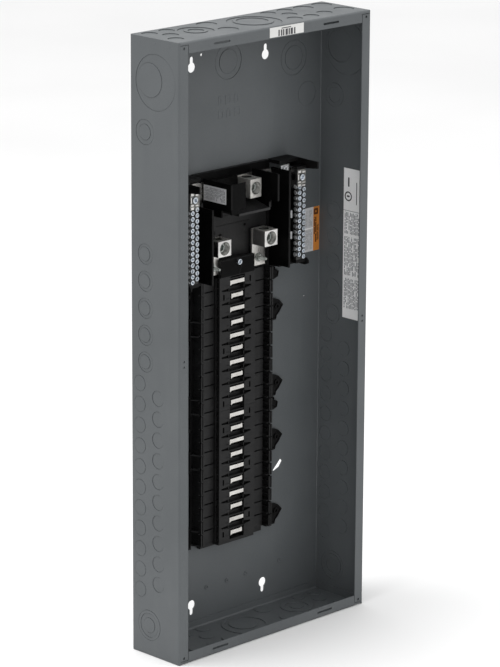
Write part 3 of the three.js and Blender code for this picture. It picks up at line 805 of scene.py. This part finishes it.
def stab_leaves(name, first):
    """The folded edge of each stab: two leaves with the fold's fine line between them. The root
    flares down at the left, and on the narrow stabs up at the right."""
    shape = Shape()
    low = span("base_module_lower")[4]
    half, shift = (13.5, 0.0) if first else (10.6, -0.75)
    for row in range(first, 2 * ROWS, 2):
        middle = low + (row + 0.5) * PITCH
        left, right = shift - half, shift + half
        rise = 2.7 if first else 4.0
        lower = [(left, middle - 4.6), (left + 3.2, middle - 2.7), (right, middle - 2.7),
                 (right, middle - 0.16), (left, middle - 0.16)]
        upper = [(left, middle + 0.16), (right, middle + 0.16), (right, middle + rise),
                 (right - 2.4, middle + 2.7), (left, middle + 2.7)]
        for leaf in (lower, upper):
            shape.plate("depth", leaf, 9.0, 19.6)
    piece(name, shape, TIN, edge=0.16)


for half, first_row in (("upper", 0), ("lower", ROWS)):
    module = f"base_module_{half}"
    foot = span(module)[4]
    base_module(f"base_{half}_moulding", module, first_row)
    ridge_shade_skin(f"ridge_shade_skin_{half}", foot)
    base_feet(f"base_feet_{half}", foot)
    ear_gussets(f"ear_gussets_{half}", foot)
stab_leaves("stab_leaves_a", 1)
stab_leaves("stab_leaves_b", 0)


# ---- Lugs and screws ----

LUG_THREAD = 0.55  # distance between the crests of each thread
SCREW_THREAD = 1.1
STUD_THREAD = 0.7


def round_span(node):
    """A round node's middle as x and height, its radius, and its two depths."""
    x0, x1, d0, d1, z0, z1 = span(node)
    return (x0 + x1) / 2, (z0 + z1) / 2, (x1 - x0) / 2, d0, d1


def lug_block(name, node, bore_radius, hole_radius):
    """A box lug with a cable bore, a threaded front hole, and corners rounded by the extrusion."""
    x0, x1, d0, d1, z0, z1 = span(node)
    x, z = (x0 + x1) / 2, (z0 + z1) / 2
    shape = Shape()
    shape.plate("height", rounded(x0, x1, d0, d1, 1.1, 3), z0, z1)
    item = piece(name, shape, ALUMINIUM, replaces=[node])
    item.data.materials.append(SAWN)
    # Slot 2 takes the cut walls of the bore and the front hole, darkened as painted shade.
    item.data.materials.append(BORE_SHADE_AND_MOTTLE)
    bore_depth = d0 + bore_radius + 2.5
    cut = Shape()
    cut.rod("height", x, bore_depth, bore_radius, z0 - 1, z1 + 1, 40)
    carve(item, cut, 2)
    cut = Shape()
    profile = [(hole_radius, bore_depth - 3)]
    turn = d1 - 0.9
    steps = int((turn - bore_depth) / LUG_THREAD)
    for i in range(steps):
        t = bore_depth + (turn - bore_depth) * i / steps
        profile += [(hole_radius - 0.02, t), (hole_radius + 0.32, t + 0.27)]
    profile += [(hole_radius, turn), (hole_radius + 0.8, d1), (hole_radius + 0.8, d1 + 1)]
    cut.turned("depth", x, z, profile, 40)
    carve(item, cut, 2)
    for polygon in item.data.polygons:
        if polygon.material_index == 0 and abs(polygon.normal.z) > 0.99:
            polygon.material_index = 1
    soften(item, 0.25, 2, 50)
    return item


def set_screw(name, node, body):
    """A socket set screw with thread crests, a chamfered end and a hexagon socket."""
    x, z, radius, d0, d1 = round_span(node)
    shape = Shape()
    crests = int((d1 - d0 - 1.6) / SCREW_THREAD)
    profile = [(radius - 1.4, d0), (radius - 0.5, d0 + 0.8)]
    for i in range(crests):
        t = d0 + 0.8 + (d1 - d0 - 1.6) * i / crests
        profile += [(radius - 0.6, t + 0.2), (radius, t + 0.55), (radius - 0.6, t + 0.9)]
    profile += [(radius - 0.7, d1 - 0.3), (radius - 1.0, d1)]
    shape.turned("depth", x, z, profile, 36)
    item = piece(name, shape, STEEL, body=body, replaces=[node])
    cut = Shape()
    cut.plate("depth", hexagon(x, z, radius * 0.64, 20), d1 - 4.0, d1 + 1)
    cut.turned("depth", x, z, [(radius * 0.3, d1 - 5.4), (radius * 0.54, d1 - 3.9)], 24)
    carve(item, cut)
    cut = Shape()
    cut.turned("depth", x, z, [(radius * 0.56, d1 - 0.7), (radius * 0.7, d1 + 0.05)], 36)
    carve(item, cut)


def slotted_recess(a, b, dish, half_length, half_width, turn):
    """A round dish crossed by a screwdriver slot, as one outline."""
    side = math.degrees(math.asin(half_width / dish))
    points = arc(0, 0, dish, side, 180 - side, 8)
    points += [(-half_length, half_width), (-half_length, -half_width)]
    return turned_to(points + turned_to(points, 0, 0, 180), a, b, turn)


def screw_head(shape, a, b, radius, low, high, turn):
    """A pan head: a rim, a recess with a slot, and a floor inside it."""
    middle = low + (high - low) * 0.2
    recess = slotted_recess(a, b, radius * 0.54, radius * 0.84, radius * 0.2, turn)
    shape.plate("depth", circle(a, b, radius, 26), middle, high, [recess])
    shape.rod("depth", a, b, radius, low, middle, 26)


def stud_hardware(name, node):
    """A threaded stud, a hexagon nut with chamfered corners and a washer."""
    x, z, washer, d0, d1 = round_span(node)
    shape = Shape()
    base = d0 + 2.3
    shape.plate("depth", circle(x, z, washer, 28), base, base + 1.0, [circle(x, z, 2.6, 28)])
    shape.plate("depth", hexagon(x, z, 5.2, 15), base + 1.2, base + 3.9, [circle(x, z, 2.5, 12)])
    shape.turned("depth", x, z, [(4.3, base + 0.9), (4.5, base + 4.1), (3.2, base + 4.3)], 28)
    profile = [(2.1, d0)]
    t = d0 + 0.5
    while t < d1 - 1.2:
        profile += [(2.0, t), (2.4, t + 0.35)]
        t += STUD_THREAD
    profile += [(2.1, d1 - 0.8), (1.4, d1)]
    shape.turned("depth", x, z, profile, 24)
    piece(name, shape, STEEL, replaces=[node], edge=0.15)


def head_screw(name, node, body, turn):
    """Stands for a pan-head screw node: the head at the node's outer end, the shank behind it."""
    x, z, radius, d0, d1 = round_span(node)
    head = min(3.4, (d1 - d0) * 0.45)
    shape = Shape()
    screw_head(shape, x, z, radius, d1 - head, d1, turn)
    shape.rod("depth", x, z, radius * 0.62, d0, d1 - head, 20)
    piece(name, shape, ZINC, body=body, replaces=[node], edge=0.22)


lug_block("line_a_lug_body", "line_a_lug", 7.3, 8.6)
lug_block("line_b_lug_body", "line_b_lug", 7.3, 8.6)
neutral_lug = lug_block("neutral_lug_body", "neutral_lug", 7.2, 8.2)
neutral_lug.data.materials[0] = SAWN
for lug in ("line_a", "line_b", "neutral"):
    set_screw(f"{lug}_set_screw", f"{lug}_lug_screw", f"{lug}_screw")
for stud in ("stud_a", "stud_b"):
    stud_hardware(f"{stud}_hardware", stud)
head_screw("interior_hold_screw", "interior_screw", "panel", 35)
for screw, turn in (("strap_screw_left", 70), ("strap_screw_right", 15)):
    head_screw(f"{screw}_head", screw, "panel", turn)


# ---- Neutral bars ----

TERMINALS = 13
TERMINAL_PITCH = 8.0
COLUMN = 4.2
BIG_HEIGHT = 630.0  # the large terminal
BAR_FACE = 40.3


def terminal_spots(sign):
    """(column, x, height) of each small terminal of a bar. The columns are half a pitch apart."""
    x0, x1, _, _, z0, _ = span("neutral_bar_right" if sign > 0 else "neutral_bar_left")
    middle = (x0 + x1) / 2
    spots = []
    for column in SIDES:
        lift = TERMINAL_PITCH / 2 if column * sign < 0 else 0
        for i in range(TERMINALS):
            spots.append((column, middle + column * COLUMN, z0 + 3.5 + lift + i * TERMINAL_PITCH))
    return spots


def bar_body(node, sign):
    """The bar with its cable holes and screw wells, and the screws' tips inside the cable holes."""
    x0, x1, d0, _, z0, z1 = span(node)
    middle = (x0 + x1) / 2
    shape = Shape()
    shape.plate("height", rounded(x0, x1, d0, BAR_FACE, 0.8, 2), z0, z1)
    # The bar's near-black finish is painted shade.
    item = piece(f"{node}_body", shape, SHADED_BAR, replaces=[node])
    wires = Shape()
    wells = Shape()
    tips = Shape()
    for column, x, height in terminal_spots(sign):
        outer = middle + column * 9.5
        seat = middle + column * 5.6
        wires.rod("x", 36.6, height, 3.45, *sorted((outer, seat)), 20)
        wells.rod("depth", x, height, 3.75, BAR_FACE - 2.6, BAR_FACE + 1, 24)
        tips.turned("x", 37.0, height, [(3.2, seat - column * 0.2), (3.2, outer - column * 1.4),
                                        (2.6, outer - column * 0.9), (1.0, outer - column * 0.8)], 18)
    wires.rod("x", 32.9, BIG_HEIGHT, 4.5, x0 - 1, x1 + 1, 28)
    well = [(4.7, 30.2), (4.7, BAR_FACE - 2.5), (5.1, BAR_FACE - 2.4), (5.1, BAR_FACE + 1)]
    wells.turned("depth", middle, BIG_HEIGHT, well, 28)
    carve(item, wires)
    carve(item, wells)
    soften(item, 0.15, 1, 60)
    piece(f"{node}_clamp_tips", tips, MATT_ZINC, edge=0.15)


def bar_screws(node, sign):
    """The small screws of a bar, each turned at random."""
    chooser = random.Random(7 + sign)
    heads = Shape()
    for _, x, height in terminal_spots(sign):
        heads.rod("depth", x, height, 1.7, BAR_FACE - 3.5, BAR_FACE - 0.6, 14)
        screw_head(heads, x, height, 3.15, BAR_FACE - 0.9, BAR_FACE + 1.8, chooser.uniform(0, 180))
    piece(f"{node}_terminal_screws", heads, ZINC, edge=0.16)


def bar_tabs(node, sign):
    """Two bright wedges on the bar's inner side."""
    x0, x1, d0, _, _, _ = span(node)
    inner = (x0 + x1) / 2 * sign - 8.5
    tabs = Shape()
    for height in (547, 577):
        wedge = mirrored([(inner - 4.4, d0 + 0.6), (inner + 0.3, d0 + 0.6), (inner + 0.3, d0 + 5)], sign)
        tabs.plate("height", wedge, height - 5.3, height + 5.3)
    piece(f"{node}_tabs", tabs, MATT_ZINC, edge=0.2)


def bar_crown(node):
    """The mottled top round the large terminal, with a few bright facets."""
    x0, x1, _, _, _, z1 = span(node)
    middle = (x0 + x1) / 2
    crown = Shape()
    outline = rounded(x0 + 0.4, x1 - 0.4, 616.6, z1 - 0.6, 1.2, 2)
    crown.plate("depth", outline, BAR_FACE - 0.2, BAR_FACE + 0.9, [circle(middle, BIG_HEIGHT, 5.2, 28)])
    piece(f"{node}_crown", crown, BORE_SHADE_AND_MOTTLE, edge=0.4)
    facets = Shape()
    near = BAR_FACE + 0.7
    for low, high in ((617.4, 620.6), (622.2, 624.6), (636.4, 640.0)):
        facets.box(x0 + 1.0, middle - 2.2, near, BAR_FACE + 2.0, low, high)
        facets.box(middle + 1.4, x1 - 1.4, near, BAR_FACE + 1.5, low - 0.8, high - 1.6)
    flake = [(x0 + 0.8, 626), (x0 + 3.2, 627), (x0 + 3.2, 634), (x0 + 0.8, 635)]
    facets.plate("depth", flake, near, BAR_FACE + 1.8)
    piece(f"{node}_facets", facets, ALUMINIUM, edge=0.5)


for side, sign in (("left", -1), ("right", 1)):
    bar = f"neutral_bar_{side}"
    bar_body(bar, sign)
    bar_screws(bar, sign)
    bar_tabs(bar, sign)
    bar_crown(bar)
    head_screw(f"{bar}_large_screw", f"bar_terminal_screw_{side}", f"terminal_screw_{side}", 40 * sign)


# ---- Moulded details on the lug block ----

BLOCK_FACE = 22.0  # the middle block, which the interior's screw goes through
BLOCK_TOP = 530.5
BLOCK_LEFT = -33.2
BLOCK_RIGHT = 30.2


def lug_block_details():
    """Ribs, beads and bosses on the deck and the middle block."""
    shape = Shape()
    foot = span("lug_base")[4] + 1
    slant = [(0, foot), (1.5, foot), (6.4, 520), (4.9, 520)]
    shape.plate("depth", slant, BLOCK_FACE - 0.3, BLOCK_FACE + 0.5)
    shape.box(BLOCK_LEFT, BLOCK_RIGHT, BLOCK_FACE - 0.2, BLOCK_FACE + 0.4, BLOCK_TOP - 1.6, BLOCK_TOP - 0.5)
    for x, height, radius in ((-35, 567.6, 2.6), (-22, 562, 2.0), (25, 570, 2.0)):
        shape.turned("depth", x, height, [(radius, 7.6), (radius, 9.6), (radius * 0.6, 10.2)], 18)
    for height in (575, 588):
        shape.box(-30, 34, 8, 8.5, height, height + 0.8)
    shape.both(66, 71, 7.8, 9.6, foot, 600)
    # The ribs' darker plastic is painted shade.
    moulded("lug_base_ribs", shape, SHADED_BLACK, 0.2)


def block_shade_skin():
    """Near-black skins on the smooth faces of the middle block and of the deck's top edge: painted shade
    and a painted dark reflection.
    """
    x0, x1, _, _, _, z1 = span("lug_base")
    shape = Shape()
    front = rounded(BLOCK_LEFT - 0.1, BLOCK_RIGHT + 0.1, 506, BLOCK_TOP - 0.2, 1.5, 3)
    shape.plate("depth", front, BLOCK_FACE - 0.2, BLOCK_FACE + 0.2, [circle(0, 524, 4.2, 24)])
    shape.box(x0 + 0.2, x1 - 0.2, 7.8, 8.3, 642.4, z1 - 0.1)
    moulded("block_shade_skin", shape, DEEP_SHADE_BLACK, 0.15)


def strap_end():
    """The strap's bright end behind the right barrier, with the head of the screw that holds it."""
    shape = Shape()
    shape.box(75.0, 90.0, 26.9, 27.9, 636.5, 647.6)
    screw_head(shape, 82, 643, 3.8, 27.6, 30.4, 25)
    piece("strap_end_right", shape, MATT_ZINC, edge=0.25)


SHELF_HIGH = 47.8


def shelf_ramp():
    """The shelf under the neutral lug rises towards the back. Beads run along its free edges."""
    shape = Shape()
    ramp = [(12, 598), (SHELF_HIGH, 598), (SHELF_HIGH, 599), (12, 607.5)]
    shape.plate("x", ramp, -25.2, 34.4)
    shape.box(-25.2, 34.4, SHELF_HIGH - 0.9, SHELF_HIGH + 0.5, 596.2, 599.6)
    shape.box(33.0, 34.5, SHELF_HIGH - 1.2, SHELF_HIGH + 0.5, 599, 607)
    # The ramp and beads take the lighter plastic: painted light on faces that catch the light.
    moulded("shelf_ramp", shape, PAINTED_LIGHT_BLACK, 0.2)


def strap_shade_sheet():
    """A near-black sheet over the strap between the label wall and the neutral lug: painted shade and a
    painted dark reflection of the black walls.
    """
    wall = span("neutral_wall_left")[1]
    lug = span("neutral_lug")[0]
    shape = Shape()
    shape.box(wall - 22, lug - 0.6, 14.4, 15.6, 612, 642.2)
    shape.box(wall - 22, lug - 0.6, 11.6, 15.6, 642.2, 643.4)
    moulded("strap_shade_sheet", shape, DEEP_SHADE_BLACK, 0.3)


def wall_beads():
    """Raised beads along the free edges of the walls round the neutral lug and of the barriers."""
    shape = Shape()
    for node, step in (("neutral_wall_right", 11), ("side_barrier_left", 0.5), ("side_barrier_right", 0.5)):
        x0, x1, _, d1, z0, z1 = span(node)
        shape.box(x0 - 0.3, x1 + 0.3, d1 - 1.4, d1 + 0.2, z0 + step, z1 - 0.5)
    x0, x1, _, d1, z0, z1 = span("neutral_wall_left")
    shape.box(x0 - 0.35, x0 + 1.5, d1 - 1.8, d1 + 0.2, z0 + 14, z1 - 0.4)
    # The beads' darker plastic is painted shade.
    moulded("wall_beads", shape, SHADED_BLACK, 0.18)


lug_block_details()
block_shade_skin()
strap_end()
shelf_ramp()
strap_shade_sheet()
wall_beads()


# ---- Labels ----

def print_rows(shape, rng, axis, across, along, face, step, mark, dash, gap, keep=0.85, thick=0.07):
    """Rows of short plain bars that stand for print. across and along are (low, high) ranges."""
    row = across[0]
    while row < across[1] - mark:
        place = along[0] + rng.uniform(0, gap)
        while place < along[1]:
            length = rng.uniform(*dash)
            end = min(place + length, along[1])
            if rng.random() < keep and end - place > 0.3:
                shape.plate(axis, rectangle(row, row + mark, place, end), face, face + thick)
            place = end + rng.uniform(gap * 0.6, gap * 1.4)
        row += step


def wiring_label_print(rng):
    """An orange band with a generic mark and two columns of bars, and two blocks of rows."""
    x0, x1, _, face, z0, z1 = span("wiring_label")
    band = Shape()
    band.box(x1 - 12, x1, face - 0.05, face + 0.06, z0, z1)
    piece("wiring_label_band", band, ORANGE)
    marks = Shape()
    hole = rounded(x1 - 8.4, x1 - 5.6, z1 - 8.5, z1 - 5.5, 0.8)
    mark = rounded(x1 - 11.4, x1 - 2.6, z1 - 11.5, z1 - 2.5, 1.6)
    marks.plate("depth", mark, face + 0.05, face + 0.12, [hole])
    inks = (
        ((x1 - 11.0, x1 - 5.4), (z0 + 11, z1 - 15), 2.9, 2.2, (6, 15), 1.2),
        ((x1 - 5.0, x1 - 1.4), (z0 + 14, z1 - 26), 2.0, 1.4, (4, 11), 1.0),
    )
    for across, along, *pattern in inks:
        print_rows(marks, rng, "depth", across, along, face + 0.05, *pattern)
    piece("wiring_label_marks", marks, BROWN_INK)
    text = Shape()
    for along in ((z0 + 3, z0 + 31), (z0 + 36, z1 - 4)):
        print_rows(text, rng, "depth", (x0 + 3, x1 - 14), along, face - 0.02, 2.3, 0.9, (2, 8), 1.2,
                   thick=0.06)
    piece("wiring_label_text", text, FAINT_INK)
    rule = Shape()
    rule.box(x0 + 1, x1 - 12.4, face - 0.02, face + 0.06, z0 + 32.6, z0 + 34.2)
    piece("wiring_label_rule", rule, SIDE_PAPER)


def side_label_print(rng):
    """Three blocks of rows and a rule, and above them a ring with plain blocks."""
    face, _, d0, d1, z0, z1 = span("side_label")
    text = Shape()
    for start, end, keep in ((14, 58, 0.9), (62, 118, 0.85), (122, 153, 0.8)):
        print_rows(text, rng, "x", (d0 + 2.5, d1 - 2), (z0 + start, z0 + end), face - 0.05,
                   2.6, 1.5, (2, 8), 1.3, keep)
    text.plate("x", rectangle(d0, d1, z1 - 61, z1 - 60.2), face - 0.05, face + 0.02)
    piece("side_label_text", text, FAINT_INK)
    marks = Shape()
    middle = (d0 + 8.8, z1 - 40)
    marks.plate("x", circle(*middle, 7, 36), face - 0.06, face + 0.02, [circle(*middle, 5.0, 36)])
    blocks = (
        (d0 + 6.2, d0 + 11.4, z1 - 41.2, z1 - 38.6),
        (d0 + 8, d0 + 10.8, z1 - 26, z1 - 13),
        (d1 - 9.4, d1 - 8.0, z1 - 50, z1 - 18),
    )
    for block in blocks:
        marks.plate("x", rectangle(*block), face - 0.06, face + 0.02)
    piece("side_label_marks", marks, INK)


def lug_label_print(rng):
    face, _, d0, d1, z0, z1 = span("lug_label")
    text = Shape()
    print_rows(text, rng, "x", (d0 + 2, d1 - 2), (z0 + 2, z1 - 2), face - 0.05, 2.5, 1.4, (1.5, 5), 1.1)
    piece("lug_label_text", text, FAINT_INK)


def sticker_print(rng):
    """A row of upright bars with a plain rule above them."""
    x0, x1, _, face, z0, z1 = span("rating_sticker")
    bars = Shape()
    x = x0 + 16
    while x < x1 - 17:
        width = rng.choice((1.6, 2.6, 4.4))
        bars.box(x, x + width, face - 0.02, face + 0.06, z0 + 0.6, z1 - 4.2)
        x += width + rng.choice((1.3, 2.2, 3.2))
    bars.box(x0 + 22, x0 + 40, face - 0.02, face + 0.06, z1 - 3.2, z1 - 1.9)
    piece("rating_sticker_bars", bars, INK)


label_chances = random.Random(11)
for print_label in (wiring_label_print, side_label_print, lug_label_print, sticker_print):
    print_label(label_chances)


# ---- Finishes of the CAD nodes that stay ----

def dress(node, look, edge=0.0):
    """A better finish for a CAD node, and its edges rounded."""
    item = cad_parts[node]
    item.data.materials.clear()
    item.data.materials.append(look)
    if edge:
        weld = item.modifiers.new("joined", "WELD")
        weld.merge_threshold = 0.00001
        soften(item, edge)


for node in ("lug_base", "bus_end_cap"):
    dress(node, PLASTIC, 0.5)
for side in ("left", "right"):
    # Painted shade: the bar holders get the darker copy of the plastic, the walls and barriers the
    # near-black copy.
    for node in ("bar_holder_upper", "bar_holder_lower"):
        dress(f"{node}_{side}", SHADED_BLACK, 0.5)
    for node in ("neutral_wall", "side_barrier"):
        dress(f"{node}_{side}", DEEP_SHADE_BLACK, 0.5)
for node in ("bus_bar_a", "bus_bar_b", "neutral_strap"):
    dress(node, TIN, 0.25)
for lug in ("line_a", "line_b", "neutral"):
    dress(f"{lug}_lug_bolt", ZINC, 0.2)
dress("wiring_label", PAPER)
dress("side_label", SIDE_PAPER)
dress("lug_label", PAPER)
dress("rating_sticker", STICKER)


# ---- Floor, light and camera ----

def floor():
    half = 9.0
    height = CAD_LOW.z - 0.0005
    mesh = bpy.data.meshes.new("floor")
    corners = [(x, y, height) for x, y in rectangle(-half, half, -half, half)]
    mesh.from_pydata(corners, [], [[0, 1, 2, 3]])
    item = added("floor", mesh)
    look = Finish("pale_floor", 0.9, specular=0.1)
    shade = look.ramp(look.noise(1.5, 2), (0.88, 0.88, 0.88), (0.92, 0.92, 0.92))
    item.data.materials.append(look.colour(shade))


def area_light(name, place, target, size, watts):
    data = bpy.data.lights.new(name, "AREA")
    data.shape = "DISK"
    data.size = size
    data.energy = watts
    item = added(name, data)
    item.location = place
    item.rotation_euler = (Vector(target) - Vector(place)).to_track_quat("-Z", "Y").to_euler()


def lights():
    world = bpy.data.worlds.new("studio")
    world.use_nodes = True
    background = world.node_tree.nodes["Background"].inputs
    background["Color"].default_value = (1, 1, 1, 1)
    background["Strength"].default_value = 1.0
    bpy.context.scene.world = world
    area_light("overhead", (-0.6, 0.25, 2.8), (0, 0, 0), 1.2, 44)
    area_light("key", (2.2, -2.6, 1.6), (0, 0, 0.1), 1.2, 6)


def camera():
    """The photograph's viewpoint: a long lens, from the left, a little above, with a slight roll."""
    data = bpy.data.cameras.new("camera")
    data.lens = 184.85
    data.sensor_width = 36
    item = added("camera", data)
    azimuth, elevation, roll = (math.radians(angle) for angle in (-44.718, 15.451, 0.292))
    item.matrix_world = (Matrix.Translation((-3.19557, -3.27183, 1.25105))
                         @ Matrix.Rotation(azimuth, 4, "Z")
                         @ Matrix.Rotation(math.pi / 2 - elevation, 4, "X")
                         @ Matrix.Rotation(roll, 4, "Z"))
    bpy.context.scene.camera = item


floor()
lights()
camera()
bpy.context.scene.view_settings.view_transform = "Standard"
